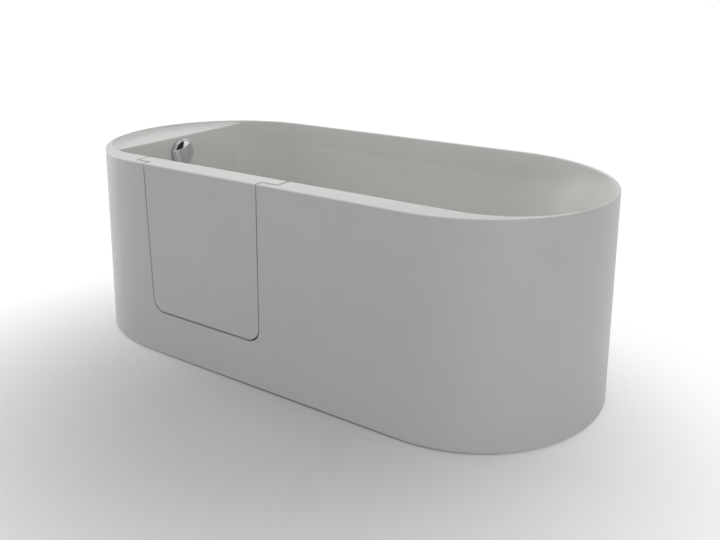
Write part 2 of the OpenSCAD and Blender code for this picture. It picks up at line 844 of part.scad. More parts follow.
module plug_stem() {
    foot = body_low + body_wall + 2;
    color(steel) at_waste() translate([0, 0, foot]) cylinder(d = axle_d, h = floor_h + flange_t + clear + 3 - foot);
}

/* ---------- Overflow ---------- */

// Axis of the overflow, pointing into the basin, from the flat wall
module overflow_axis() translate([flat_x, overflow_y, overflow_h]) rotate([0, 90, 0]) children();

module overflow_plate() {
    tube_l = basin_t + gasket_t + 12;
    color(chrome) overflow_axis() difference() {
        union() {
            translate([0, 0, -seat]) cylinder(d = plate_d, h = 3);
            translate([0, 0, -tube_l]) cylinder(d = overflow_d - 2 * clear, h = tube_l);
        }
        difference() {
            translate([0, 0, -tube_l - 1]) cylinder(d = overflow_d - 8, h = tube_l + 5);
            translate([-overflow_d / 2, -4, -tube_l]) cube([overflow_d, 8, tube_l + 3 - seat]);
            translate([0, 0, -tube_l]) cylinder(d = axle_d + 10, h = tube_l + 3 - seat);
        }
        translate([0, 0, -tube_l - 1]) cylinder(d = axle_d + 2 * run_fit, h = tube_l + 6);
    }
}

module overflow_gasket() {
    color(black_rubber) overflow_axis() translate([0, 0, -basin_t - gasket_t]) difference() {
        cylinder(r = box_r, h = gasket_t);
        translate([0, 0, -1]) cylinder(d = overflow_d, h = gasket_t + 2);
    }
}

module overflow_body() {
    back = -basin_t - gasket_t;
    color(grey_plastic) difference() {
        union() {
            overflow_axis() translate([0, 0, back - box_l]) cylinder(r = box_r, h = box_l);
            translate([pipe_x, overflow_y, overflow_h - box_r - 14]) cylinder(d = pipe_d + 6, h = box_r);
            translate([pipe_x, overflow_y + cable_off, overflow_h - box_r + 2]) cylinder(d = cable_d + 5, h = box_r / 2);
        }
        overflow_axis() difference() {
            translate([0, 0, back - box_l + 4]) cylinder(r = box_r - 4, h = box_l);
            translate([0, 0, back - box_l]) cylinder(d = axle_d + 8, h = 18);
        }
        overflow_axis() translate([0, 0, back - box_l + 4]) cylinder(d = axle_d + 2 * run_fit, h = box_l);
        translate([pipe_x, overflow_y, overflow_h - box_r - 15]) cylinder(d = pipe_d, h = box_r);
        translate([pipe_x, overflow_y + cable_off, overflow_h - box_r]) cylinder(d = cable_d, h = box_r / 2);
    }
}

// Upright pipe, bend and level pipe to the waste
module pipe_run(y, d, bore, bend, top, low, end_x_at) {
    module section() {
        difference() {
            circle(d = d);
            if (bore > 0) circle(d = bore);
        }
    }
    translate([pipe_x, y, low + bend]) linear_extrude(top - low - bend) section();
    translate([pipe_x + bend, y, low + bend]) rotate([90, 0, 0]) rotate([0, 0, 180])
        rotate_extrude(angle = 90, $fn = 96) translate([bend, 0]) section();
    translate([pipe_x + bend, y, low]) rotate([0, 90, 0]) linear_extrude(end_x_at - pipe_x - bend) section();
}

module overflow_pipe() {
    color(grey_plastic) pipe_run(
        overflow_y, pipe_d, pipe_d - 4, pipe_bend, overflow_h - box_r + 6, pipe_h, waste_x - body_r + 4
    );
}

module control_cable() {
    color(black_rubber) pipe_run(
        overflow_y + cable_off, cable_d, 0, cable_bend, overflow_h - box_r + 8, cable_h, waste_x - cable_reach + 3
    );
}

module overflow_knob() {
    face = knob_h - knob_gap;
    wall = 4;
    color(chrome) overflow_axis() translate([0, 0, knob_gap]) difference() {
        rotate_extrude($fn = 128) intersection() {
            rounded([[0, 0, 0], [knob_d / 2, 0, 0], [knob_d / 2, face, 3], [0, face, 0]]);
            translate([0, face - 500]) circle(500, $fn = 256);
        }
        difference() {
            translate([0, 0, -1]) cylinder(d = knob_d - 2 * wall, h = face - 2 * wall + 1);
            cylinder(d = axle_d + 12, h = face);
        }
        translate([0, 0, -1]) cylinder(d = axle_d, h = face - wall + 1);
    }
}

module overflow_spindle() {
    back = basin_t + gasket_t + box_l - 6;
    front = knob_h - 4;
    color(steel) overflow_axis() translate([0, 0, -back]) cylinder(d = axle_d, h = back + front);
}

/* ---------- Base ---------- */

module base_board() {
    low = frame_low + tube_w;
    color(board_brown) translate([board_x[0], board_y[0], low])
        cube([board_x[1] - board_x[0], board_y[1] - board_y[0], floor_h - basin_t - low]);
}

module base_frame() {
    color(steel) difference() {
        union() {
            for (y = rail_y) translate([board_x[0], y - tube_w / 2, frame_low])
                cube([board_x[1] - board_x[0], tube_w, tube_w]);
            for (x = bar_x) translate([x - tube_w / 2, -bar_len / 2, frame_low])
                cube([tube_w, bar_len, tube_w]);
        }
        at_feet() cylinder(d = stud_d + 2 * run_fit, h = frame_low + tube_w + past);
    }
}

module at_feet() for (x = bar_x, y = foot_y) translate([x, y, 0]) children();

module foot_pads() {
    color(black_rubber) at_feet() difference() {
        rotate_extrude() rounded([[0, 0, 0], [foot_d / 2, 0, 0], [foot_d / 2 - 3, foot_t, 2], [0, foot_t, 0]]);
        translate([0, 0, 4]) cylinder(d = stud_d, h = foot_t);
    }
}

module foot_studs() color(steel) at_feet() translate([0, 0, 4]) cylinder(d = stud_d, h = frame_low + tube_w - 5);

module foot_nuts() {
    color(steel) at_feet() translate([0, 0, frame_low - 8]) difference() {
        cylinder(d = 1.15 * 1.7 * stud_d, h = 8, $fn = 6);
        translate([0, 0, -1]) cylinder(d = stud_d, h = 10);
    }
}

basin();
skirt();
door_frame();
base_board();
base_frame();
foot_pads();
foot_studs();
foot_nuts();
hinge_leaf_frame_lower();
hinge_leaf_frame_upper();
hinge_pin_lower();
hinge_pin_upper();
hinge_screws_frame();
latch_keeper();
keeper_screws();
waste_flange();
waste_gasket();
waste_body();
overflow_plate();
overflow_gasket();
overflow_body();
overflow_pipe();
control_cable();
door_shell();
door_liner();
door_seal();
hinge_bar();
hinge_leaf_door_lower();
hinge_leaf_door_upper();
hinge_screws_door();
latch_case();
latch_rosette();
bolt_guide();
latch_handle();
latch_spindle();
latch_bolt();
overflow_knob();
overflow_spindle();
plug_cap();
plug_seal();
plug_stem();
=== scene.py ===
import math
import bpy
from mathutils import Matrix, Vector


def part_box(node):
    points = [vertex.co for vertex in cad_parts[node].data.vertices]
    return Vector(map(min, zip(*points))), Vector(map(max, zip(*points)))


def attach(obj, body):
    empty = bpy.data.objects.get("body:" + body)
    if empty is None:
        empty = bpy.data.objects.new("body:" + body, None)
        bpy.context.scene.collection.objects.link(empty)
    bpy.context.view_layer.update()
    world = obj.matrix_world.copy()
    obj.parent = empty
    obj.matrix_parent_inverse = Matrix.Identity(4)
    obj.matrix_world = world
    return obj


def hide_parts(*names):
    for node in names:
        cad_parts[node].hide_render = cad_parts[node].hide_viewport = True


bl_info = {
    "name": "Walk-in bathtub",
    "version": (1, 0, 0),
    "blender": (4, 5, 0),
    "location": "View3D > Sidebar > Bathtub",
    "description": "Dresses the packed walk-in bathtub: moulding, skirt, door, chrome, seals and stage",
    "category": "Object",
}

import bmesh
import bpy
from mathutils import Matrix, Vector

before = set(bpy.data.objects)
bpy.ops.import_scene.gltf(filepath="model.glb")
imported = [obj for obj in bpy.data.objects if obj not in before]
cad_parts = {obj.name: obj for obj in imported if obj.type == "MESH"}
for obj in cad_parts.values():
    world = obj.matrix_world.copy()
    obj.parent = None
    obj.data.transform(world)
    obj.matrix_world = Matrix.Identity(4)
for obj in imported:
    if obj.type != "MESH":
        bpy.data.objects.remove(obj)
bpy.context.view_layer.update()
MM = 0.001
WELD = 1e-6  # points closer than this, in metres, are one


# ---------------------------------------------------------------- colours and materials


def linear(code):
    """sRGB hex as linear red, green, blue."""
    parts = [int(code[i : i + 2], 16) / 255 for i in (1, 3, 5)]
    return [c / 12.92 if c <= 0.04045 else ((c + 0.055) / 1.055) ** 2.4 for c in parts]


def node(tree, kind, settings=None, links=None):
    """Adds a node, sets its properties and unlinked inputs, and links its inputs, by name or number."""
    made = tree.nodes.new(kind)
    for key, value in (settings or {}).items():
        if isinstance(key, int) or key in made.inputs:
            made.inputs[key].default_value = value
        else:
            setattr(made, key, value)
    for key, source in (links or {}).items():
        tree.links.new(source, made.inputs[key])
    return made


def new_material(name):
    made = bpy.data.materials.new(name)
    made.use_nodes = True
    made.node_tree.nodes.clear()
    return made, made.node_tree


def speckle(tree, size_mm, detail=2.0, rough=0.5):
    """Noise on the piece's own coordinates, whose grains are about size_mm across."""
    place = node(tree, "ShaderNodeTexCoord")
    return node(
        tree,
        "ShaderNodeTexNoise",
        {"Scale": 1000.0 / size_mm, "Detail": detail, "Roughness": rough},
        {"Vector": place.outputs["Object"]},
    )


def finish_material(tree, settings, colour, dull, relief=None):
    """A surface whose colour and roughness follow patterns, over a bump of a real depth.

    colour is a pattern with its dark and its light tone, dull a pattern with its least and its most
    roughness, and relief a pattern with its depth in millimetres.
    """
    most_noise = {"From Min": 0.3, "From Max": 0.7}
    pattern, dark, light = colour
    share = node(tree, "ShaderNodeMapRange", most_noise, {"Value": pattern.outputs["Fac"]})
    # A colour mix has its share in input 0, its tones in 6 and 7 and its result in output 2.
    tone = node(
        tree,
        "ShaderNodeMix",
        {"data_type": "RGBA", 6: (*linear(dark), 1), 7: (*linear(light), 1)},
        {0: share.outputs["Result"]},
    )
    pattern, least, most = dull
    rough = node(
        tree,
        "ShaderNodeMapRange",
        {**most_noise, "To Min": least, "To Max": most},
        {"Value": pattern.outputs["Fac"]},
    )
    links = {"Base Color": tone.outputs[2], "Roughness": rough.outputs["Result"]}
    if relief:
        pattern, depth = relief
        height = {"Height": pattern.outputs["Fac"]}
        bump = node(tree, "ShaderNodeBump", {"Strength": 1.0, "Distance": depth * MM}, height)
        links["Normal"] = bump.outputs["Normal"]
    shader = node(tree, "ShaderNodeBsdfPrincipled", settings, links)
    node(tree, "ShaderNodeOutputMaterial", None, {"Surface": shader.outputs[0]})


def satin_solid_surface(look):
    """Cast mineral-filled resin, sanded to a satin: it scatters light softly, with a faint mottling
    from the filler and a very shallow waviness left by the mould."""
    made, tree = new_material("satin_solid_surface")
    mottle = speckle(tree, 90, 3.0, 0.55)
    grain = speckle(tree, 1.6, 1.0)  # real filler grains are 0.1 mm, drawn coarser so that they show
    wave = speckle(tree, 260, 1.0)
    finish_material(
        tree,
        {"IOR": 1.5, "Specular IOR Level": 0.5},
        (mottle, look.tub_dark, look.tub_light),
        (grain, 0.30, 0.38),
        (wave, 0.25),
    )
    return made


def moulded_abs(name, dark, light, rough):
    """Injection-moulded plastic: an even colour with a fine spark texture that dulls the gloss."""
    made, tree = new_material(name)
    grain = speckle(tree, 2.5, 2.0)  # real spark texture is 0.2 mm, drawn coarser so that it shows
    cloud = speckle(tree, 60, 2.0)
    finish_material(
        tree, {"IOR": 1.46}, (cloud, dark, light), (grain, rough - 0.05, rough + 0.07), (grain, 0.03)
    )
    return made


def polished_chrome():
    """Chrome plate on brass: a mirror with a cool tone and faint polishing haze."""
    made, tree = new_material("polished_chrome")
    haze = speckle(tree, 14, 3.0)
    finish_material(tree, {"Metallic": 1.0}, (haze, "#D2D6DA", "#E0E2E4"), (haze, 0.05, 0.09))
    return made


def brushed_stainless():
    """Stainless steel strip with a linear brush: long thin scratches that stretch its highlights."""
    made, tree = new_material("brushed_stainless")
    place = node(tree, "ShaderNodeTexCoord")
    # Scratches of 33 by 0.7 mm. Real ones are finer, so these are drawn coarser to show.
    along, across = 100 / 3, 2 / 3
    scale = (1000 / along, 1000 / along, 1000 / across)
    long_way = node(tree, "ShaderNodeMapping", {"Scale": scale}, {"Vector": place.outputs["Object"]})
    brush = node(tree, "ShaderNodeTexNoise", {"Scale": 1.0, "Detail": 3.0}, {"Vector": long_way.outputs[0]})
    finish_material(
        tree, {"Metallic": 1.0}, (brush, "#A6A9AC", "#BFC1C3"), (brush, 0.24, 0.38), (brush, 0.01)
    )
    return made


def moulded_rubber():
    """EPDM rubber: near black, matt, with a dusty bloom and a faint moulding grain."""
    made, tree = new_material("moulded_epdm_rubber")
    bloom = speckle(tree, 22, 3.0)
    grain = speckle(tree, 1.2, 1.0)  # a real moulding grain is finer, drawn coarser so that it shows
    finish_material(tree, {"IOR": 1.52}, (bloom, "#1C1C1D", "#2E2E2F"), (bloom, 0.6, 0.8), (grain, 0.05))
    return made


def sealed_birch_plywood():
    """Birch plywood under a sealer: pale brown with long soft grain."""
    made, tree = new_material("sealed_birch_plywood")
    place = node(tree, "ShaderNodeTexCoord")
    # Grain of 167 by 11 mm, as on peeled veneer
    along, across = 500 / 3, 100 / 9
    scale = (1000 / along, 1000 / across, 1000 / across)
    long_way = node(tree, "ShaderNodeMapping", {"Scale": scale}, {"Vector": place.outputs["Object"]})
    grain = node(
        tree,
        "ShaderNodeTexNoise",
        {"Scale": 1.0, "Detail": 6.0, "Distortion": 0.6},
        {"Vector": long_way.outputs[0]},
    )
    finish_material(tree, {"IOR": 1.5}, (grain, "#A5835A", "#C9A97E"), (grain, 0.45, 0.6), (grain, 0.06))
    return made


# ---------------------------------------------------------------- settings


class BathtubSizes(bpy.types.PropertyGroup):
    """Sizes of the pieces that are made here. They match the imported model."""

    rim_near: bpy.props.FloatProperty(
        name="Rim at the door",
        description="Width of the flat rim on the door side",
        default=0.076,
        unit="LENGTH",
    )
    lip: bpy.props.FloatProperty(
        name="Lip", description="Width of the thin lip on the other sides", default=0.012, unit="LENGTH"
    )
    rim_blend: bpy.props.FloatProperty(
        name="Rim blend", description="Radius from the wide rim to the lip", default=0.270, unit="LENGTH"
    )
    wall: bpy.props.FloatProperty(
        name="Basin wall", description="Thickness of the moulding", default=0.0057, unit="LENGTH"
    )
    skirt: bpy.props.FloatProperty(
        name="Skirt wall", description="Thickness of the outer skirt", default=0.006, unit="LENGTH"
    )
    edge: bpy.props.FloatProperty(
        name="Outer edge", description="Radius of the rim's outer edge", default=0.004, unit="LENGTH"
    )
    inner_edge: bpy.props.FloatProperty(
        name="Inner edge", description="Radius of the rim's inner edge", default=0.003, unit="LENGTH"
    )
    deck: bpy.props.FloatProperty(
        name="Deck length", description="From the outer end to the flat wall", default=0.165, unit="LENGTH"
    )
    deck_drop: bpy.props.FloatProperty(
        name="Deck depth", description="Depth of the deck below the rim", default=0.013, unit="LENGTH"
    )
    floor: bpy.props.FloatProperty(
        name="Basin floor", description="Height of the basin's floor", default=0.070, unit="LENGTH"
    )
    seam: bpy.props.FloatProperty(
        name="Door gap", description="Gap round the door", default=0.0035, unit="LENGTH"
    )
    drain: bpy.props.FloatProperty(
        name="Drain hole", description="Diameter of the floor's hole", default=0.052, unit="LENGTH"
    )
    overflow: bpy.props.FloatProperty(
        name="Overflow hole", description="Diameter of the flat wall's hole", default=0.050, unit="LENGTH"
    )


class BathtubLook(bpy.types.PropertyGroup):
    """Colours of the pieces, as sRGB hex codes."""

    tub_light: bpy.props.StringProperty(
        name="Tub, light", description="Lighter tone of the solid surface", default="#DCDCDA"
    )
    tub_dark: bpy.props.StringProperty(
        name="Tub, dark", description="Darker tone of the solid surface", default="#DADAD7"
    )
    floor_white: bpy.props.StringProperty(
        name="Floor", description="Colour of the studio floor", default="#DCDCDC"
    )
    floor_bounce: bpy.props.StringProperty(
        name="Floor bounce",
        description="Colour of the floor for the light that it sends back up",
        default="#BCBCBC",
    )
    # Glow of the floor outside its painted shadow, a soft oval in front of the tub where the glow is left out
    floor_lift: bpy.props.FloatProperty(
        name="Floor lift", description="How much brighter the camera sees the floor", default=0.62
    )


# ---------------------------------------------------------------- outlines of the tub


def arc(cx, cy, r, a0, a1, n, skip=0):
    """Points of an arc as x, y and the angle that they face, in degrees."""
    made = []
    for i in range(skip, n + 1):
        a = a0 + (a1 - a0) * i / n
        made.append((cx + r * math.cos(math.radians(a)), cy + r * math.sin(math.radians(a)), a))
    return made


def read_table(table, value):
    """Second number of a table of pairs, in straight runs between its rows."""
    for (x0, y0), (x1, y1) in zip(table, table[1:]):
        if value <= x1:
            return y0 + (y1 - y0) * max(0.0, value - x0) / (x1 - x0)
    return table[-1][1]


def smooth_loop(values, width, rounds):
    """Running mean round a closed list."""
    n = len(values)
    for _ in range(rounds):
        values = [
            sum(values[(i + k) % n] for k in range(-width, width + 1)) / (2 * width + 1) for i in range(n)
        ]
    return values


class Plan:
    """The tub seen from above, point by point, in step with part.scad. Millimetres."""

    wall_corner = 40.0  # radius of the two upright corners of the flat wall
    back_run, back_fillet = 338, 150  # run of the backrest, and the radius at its foot
    far_run, far_fillet = 138, 90
    end_fillet, near_fillet = 35, 14
    floor_near_r, floor_back_r, floor_far_r = 60.0, 120.0, 100.0
    near_start, near_stop = 11, 177  # the near wall's points, from the blend's middle and the floor's end
    rim_shoulder = 5.0  # drop of the shoulder where the backrest starts at the rim
    # Drop of the shoulder and radius of the foot, by the way that the mouth faces
    shoulder_drop = (
        (180, 40), (270, 100), (300, 60), (333, rim_shoulder), (388, rim_shoulder),
        (418, 45), (428, 78), (442, 80), (450, 115), (540, 40),
    )
    foot_radius = (
        (180, end_fillet), (270, near_fillet), (300, 90), (335, back_fillet), (400, back_fillet),
        (450, far_fillet), (540, end_fillet),
    )
    bend_points = 6  # of the soft bend that replaces the corner at the shoulder
    bend_reach = 30.0
    slope_points = 4

    def __init__(self, sizes):
        low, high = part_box("basin")
        self.outer = (high.y - low.y) / 2 / MM
        self.end = (high.x - low.x) / 2 / MM - self.outer
        self.top = high.z / MM
        self.lip = self.outer - sizes.lip / MM
        self.near = -(self.outer - sizes.rim_near / MM)
        self.blend = sizes.rim_blend / MM
        self.blend_y = self.near + self.blend
        self.blend_x = self.end + math.sqrt((self.lip - self.blend) ** 2 - self.blend_y**2)
        self.blend_a = math.degrees(math.atan2(self.blend_y, self.blend_x - self.end))
        self.flat = -(self.end + self.outer) + sizes.deck / MM
        self.wall = sizes.wall / MM
        self.floor = sizes.floor / MM
        self.drop = sizes.deck_drop / MM
        self.lay_out()

    def lay_out(self):
        e, lip, b, corner = self.end, self.lip, self.blend, self.wall_corner
        cx = self.flat + corner
        near_c = self.blend_y - math.sqrt((b - corner) ** 2 - (cx + self.blend_x) ** 2)
        far_c = math.sqrt((lip - corner) ** 2 - (cx + e) ** 2)
        near_a = 360 + math.degrees(math.atan2(near_c - self.blend_y, cx + self.blend_x))
        far_a = math.degrees(math.atan2(far_c, cx + e))
        x0, x1 = self.flat + self.end_fillet, e + lip - self.back_run
        y0, y1 = self.near + self.near_fillet, lip - self.far_run
        first, straight = self.near_start - self.blend_x, x1 - self.near_stop
        near_x = [first + (straight - first) * i / 24 for i in range(25)]
        near_x += [straight + (self.blend_x - straight) * i / 8 for i in range(1, 8)]
        far_x = [e - 2 * e * i / 14 for i in range(1, 14)]
        self.mouth = (
            arc(cx, near_c, corner, 180, near_a, 9)
            + arc(-self.blend_x, self.blend_y, b, near_a, 270, 9, 1)
            + [(x, self.near, 270.0) for x in near_x]
            + arc(self.blend_x, self.blend_y, b, 270, 360 + self.blend_a, 20)
            + arc(e, 0, lip, 360 + self.blend_a, 450, 54, 1)
            + [(x, lip, 450.0) for x in far_x]
            + arc(-e, 0, lip, 450, 360 + far_a, 15)
            + arc(cx, far_c, corner, 360 + far_a, 540, 9, 1)
            + self.flat_columns(self.flat, far_c, near_c)
        )
        near_r, back_r, far_r = self.floor_near_r, self.floor_back_r, self.floor_far_r
        # The near wall keeps its x from top to foot, as far as the flat floor reaches.
        squeeze = (x1 - back_r - straight) / (self.blend_x - straight)
        near_f = [x if x <= straight else straight + (x - straight) * squeeze for x in near_x]
        far_f = [(x1 - back_r) + ((x0 + far_r) - (x1 - back_r)) * (e - x) / (2 * e) for x in far_x]
        side_n = 14
        back_y = [y0 + back_r + (y1 - y0 - 2 * back_r) * i / (side_n + 1) for i in range(1, side_n)]
        self.foot = (
            arc(x0 + near_r, y0 + near_r, near_r, 180, 270, 18)
            + [(x, y0, 270.0) for x in near_f]
            + arc(x1 - back_r, y0 + back_r, back_r, 270, 360, 30)
            + [(x1, y, 360.0) for y in back_y]
            + arc(x1 - back_r, y1 - back_r, back_r, 360, 450, 30)
            + [(x, y1, 450.0) for x in far_f]
            + arc(x0 + far_r, y1 - far_r, far_r, 450, 540, 24)
            + self.flat_columns(x0, y1 - far_r, y0 + near_r)
        )
        if len(self.mouth) != len(self.foot):
            raise RuntimeError(f"mouth {len(self.mouth)} and foot {len(self.foot)} differ")
        drops = smooth_loop([read_table(self.shoulder_drop, m[2]) for m in self.mouth], 2, 2)
        self.shoulders = [self.top - d for d in drops]
        self.radii = smooth_loop([read_table(self.foot_radius, m[2]) for m in self.mouth], 2, 2)

    def flat_columns(self, x, far, near, upright=60):
        """Points down the flat wall. Its middle, where the overflow sits, is exactly upright."""
        ys = [far + (upright - far) * i / 18 for i in range(1, 19)]
        ys += [upright - 2 * upright * i / 16 for i in range(1, 17)]
        ys += [-upright + (near + upright) * i / 18 for i in range(1, 18)]
        return [(x, y, 540.0) for y in ys]

    def on_contour(self, i):
        """The rim's inner edge beside a point of the mouth: x, y and its outward direction."""
        x, y, a = self.mouth[i]
        if x > self.flat + self.wall_corner:
            return x, y, math.cos(math.radians(a)), math.sin(math.radians(a))
        turn = math.degrees(math.atan2(y, x + self.end)) % 360
        if turn <= 180 - self.blend_a:
            cx, cy, r = -self.end, 0.0, self.lip
        else:
            cx, cy, r = -self.blend_x, self.blend_y, self.blend
        reach = math.hypot(x - cx, y - cy)
        nx, ny = (x - cx) / reach, (y - cy) / reach
        return cx + r * nx, cy + r * ny, nx, ny

    def on_outside(self, x, y):
        """The outer wall beside a point of the rim: x, y and its outward direction."""
        if abs(x) <= self.end:
            s = 1.0 if y > 0 else -1.0
            return x, s * self.outer, 0.0, s
        cx = math.copysign(self.end, x)
        reach = math.hypot(x - cx, y)
        nx, ny = (x - cx) / reach, y / reach
        return cx + self.outer * nx, self.outer * ny, nx, ny

    def wall_profile(self, i, grow, steps, start):
        """Distance and height pairs down the basin's wall, from the height start to the flat floor."""
        m, f = self.mouth[i], self.foot[i]
        c, s = math.cos(math.radians(m[2])), math.sin(math.radians(m[2]))
        fc, fs = math.cos(math.radians(f[2])), math.sin(math.radians(f[2]))
        tx, ty = m[0] + grow * c, m[1] + grow * s
        fx, fy = f[0] + grow * fc, f[1] + grow * fs
        run = math.hypot(fx - tx, fy - ty)
        dx, dy = (fx - tx) / run, (fy - ty) / run
        low = self.floor - grow
        r = min(self.radii[i] + grow, 0.9999 * run)
        shoulder = self.shoulders[i]
        depth = shoulder - low - r
        lean = math.atan2(depth, run) + math.asin(r / math.hypot(run, depth))
        toe = (run - r * math.sin(lean), low + r - r * math.cos(lean))
        soft = min(self.bend_reach, 0.8 * max(0.2, start - shoulder), 0.5 * (shoulder - toe[1]))
        length = math.hypot(toe[0], shoulder - toe[1])
        az = shoulder + soft
        bx, bz = toe[0] * soft / length, shoulder - (shoulder - toe[1]) * soft / length
        line = []
        for k in range(self.bend_points + 1):
            t = k / self.bend_points
            line.append((t * t * bx, (1 - t) ** 2 * az + 2 * t * (1 - t) * shoulder + t * t * bz))
        n = self.slope_points
        line += [(bx + (toe[0] - bx) * k / n, bz + (toe[1] - bz) * k / n) for k in range(1, n)]
        for k in range(steps + 1):
            a = lean * (1 - k / steps)
            line.append((run - r * math.sin(a), low + r - r * math.cos(a)))
        return [(tx + q * dx, ty + q * dy, z) for q, z in line]


# ---------------------------------------------------------------- mesh helpers


def ring_loft(name, rings, caps=(True, True)):
    """A circle of edges is set to the first ring and extruded through the others."""
    bm = bmesh.new()
    n = len(rings[0])
    loop = bmesh.ops.create_circle(bm, segments=n, radius=1.0)["verts"]
    for v, p in zip(loop, rings[0]):
        v.co = Vector(p) * MM
    first = edges = bm.edges[:]
    for ring in rings[1:]:
        out = bmesh.ops.extrude_edge_only(bm, edges=edges)["geom"]
        fresh = {g for g in out if isinstance(g, bmesh.types.BMVert)}
        edges = [g for g in out if isinstance(g, bmesh.types.BMEdge)]
        moved = []
        for v in loop:
            moved.append(next(e.other_vert(v) for e in v.link_edges if e.other_vert(v) in fresh))
        loop = moved
        for v, p in zip(loop, ring):
            v.co = Vector(p) * MM
    for wanted, side in zip(caps, (first, edges)):
        if wanted:
            bmesh.ops.contextual_create(bm, geom=side)
    bmesh.ops.remove_doubles(bm, verts=bm.verts[:], dist=WELD)
    bmesh.ops.dissolve_degenerate(bm, dist=WELD, edges=bm.edges[:])
    bmesh.ops.recalc_face_normals(bm, faces=bm.faces[:])
    return to_object(name, bm)


def to_object(name, bm):
    mesh = bpy.data.meshes.new(name)
    bm.to_mesh(mesh)
    bm.free()
    made = bpy.data.objects.new(name, mesh)
    bpy.context.scene.collection.objects.link(made)
    return made


def bake_modifiers(obj):
    """Applies what is on the piece."""
    graph = bpy.context.evaluated_depsgraph_get()
    mesh = bpy.data.meshes.new_from_object(obj.evaluated_get(graph))
    obj.modifiers.clear()
    obj.data = mesh


def cut(obj, cutter):
    """Takes the cutter's shape out of the piece."""
    step = obj.modifiers.new("cut", "BOOLEAN")
    step.operation = "DIFFERENCE"
    step.solver = "EXACT"
    step.object = cutter
    bake_modifiers(obj)
    bpy.data.objects.remove(cutter)


def dress(obj, material, body, slot, *nodes, angle=35.0):
    """Smooth shading with sharp edges kept, the finish, and what the piece stands for."""
    bm = bmesh.new()
    bm.from_mesh(obj.data)
    for f in bm.faces:
        f.smooth = True
    for e in bm.edges:
        e.smooth = len(e.link_faces) == 2 and e.calc_face_angle(0.0) < math.radians(angle)
    bm.to_mesh(obj.data)
    bm.free()
    weight = obj.modifiers.new("weighted_normals", "WEIGHTED_NORMAL")
    weight.keep_sharp = True
    weight.weight = 60
    obj.data.materials.clear()
    obj.data.materials.append(material)
    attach(obj, body)
    if nodes:
        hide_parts(*nodes)
    return obj


def turned(name, profile, place, steps=128):
    """Spins a profile of radius and height pairs, in millimetres, about the local Z of place."""
    bm = bmesh.new()
    verts = [bm.verts.new((r * MM, 0, z * MM)) for r, z in profile]
    edges = [bm.edges.new(pair) for pair in zip(verts, verts[1:])]
    bmesh.ops.spin(
        bm,
        geom=verts + edges,
        cent=(0, 0, 0),
        axis=(0, 0, 1),
        angle=2 * math.pi,
        steps=steps,
        use_merge=True,
    )
    bmesh.ops.remove_doubles(bm, verts=bm.verts[:], dist=WELD)
    bmesh.ops.recalc_face_normals(bm, faces=bm.faces[:])
    bmesh.ops.transform(bm, matrix=place, verts=bm.verts[:])
    return to_object(name, bm)


def quarter(cx, cy, r, a0, a1, n=6):
    """Points of a profile's rounded corner."""
    angles = [math.radians(a0 + (a1 - a0) * k / n) for k in range(n + 1)]
    return [(cx + r * math.cos(a), cy + r * math.sin(a)) for a in angles]


def turns(n):
    """Sine and cosine from 0 to 90 degrees in n steps."""
    angles = [math.radians(90 * k / n) for k in range(n + 1)]
    return [(math.sin(a), math.cos(a)) for a in angles]


# ---------------------------------------------------------------- door outline


class DoorPlan:
    """The door's outline, in step with part.scad. Millimetres."""

    lean = math.radians(2.4)  # of the hinge edge
    panel_r = 40.0  # lower corners of the panel, and of the flange behind it
    flange_r = 94.0
    right_x = 4.5
    left_x = right_x - 429.0
    sill = 141.0
    front = -400.0  # the panel's face, and the step to the flange
    step = -372.0
    fade = 12.0  # the lips come in over this depth from the face

    def __init__(self, plan, lift=0.0):
        """The foot of the outline is raised by lift."""
        a = self.lean
        self.corner_z = self.sill + self.panel_r + lift
        rise = (plan.top - self.corner_z + self.panel_r * math.sin(a)) / math.cos(a)
        self.cl = self.left_x + rise * math.sin(a) + self.panel_r * math.cos(a)
        self.cr = self.right_x - self.panel_r
        self.near = plan.near
        self.top = plan.top

    def ring(self, r, y, top, steps=24):
        """The open outline at depth y, with lower corners of radius r, up to the height top."""
        a = self.lean
        up = (top - self.corner_z + r * math.sin(a)) / math.cos(a)
        made = [(self.cl - r * math.cos(a) - up * math.sin(a), y, top)]
        for k in range(steps + 1):
            t = math.pi + a + (math.pi / 2 - a) * k / steps
            made.append((self.cl + r * math.cos(t), y, self.corner_z + r * math.sin(t)))
        for k in range(steps + 1):
            t = 1.5 * math.pi + math.pi / 2 * k / steps
            made.append((self.cr + r * math.cos(t), y, self.corner_z + r * math.sin(t)))
        made.append((self.cr + r, y, top))
        return made

    def leaning(self, r, y, n, ends, top):
        """A ring whose two ends go on above top, by distances along n, which fade at the front."""
        full = min(1.0, max(0.0, (y - self.front) / self.fade))
        full *= full * (3 - 2 * full)
        ends = [(r + full * d * n[0], y + full * d * n[1], z) for d, z in ends]
        left = [self.ring(q, w, z)[0] for q, w, z in ends]
        right = [self.ring(q, w, z)[-1] for q, w, z in ends]
        return left + self.ring(r, y, top) + right[::-1]


# The lips of the rim's groove lean back from it: distance from the wall and height above the rim.
LIP_DEEP = 9.0
LIP = [(4.4, 0.0), (3.9, -0.2), (3.45, -0.8), (2.9, -2.1), (0.0, -LIP_DEEP)]
# Lift of the outline's foot. Between them the seam over the sill is 2.2 mm wider than in the solids.
OPENING_LIFT = -0.7
DOOR_LIFT = 1.5
STEP_OFF = 0.02  # keeps two rings of a step apart


def outward(chain, first, last):
    """Unit normals of a chain of radius and depth pairs, pointing away from the door."""
    made = []
    for k in range(len(chain)):
        a, b = chain[max(0, k - 1)], chain[min(len(chain) - 1, k + 1)]
        dr, dy = b[0] - a[0], b[1] - a[1]
        reach = math.hypot(dr, dy)
        # The eased corners at both ends are smaller than the lip, so there it leans sideways.
        made.append((dy / reach, -dr / reach) if first <= k < last else (1.0, 0.0))
    return made


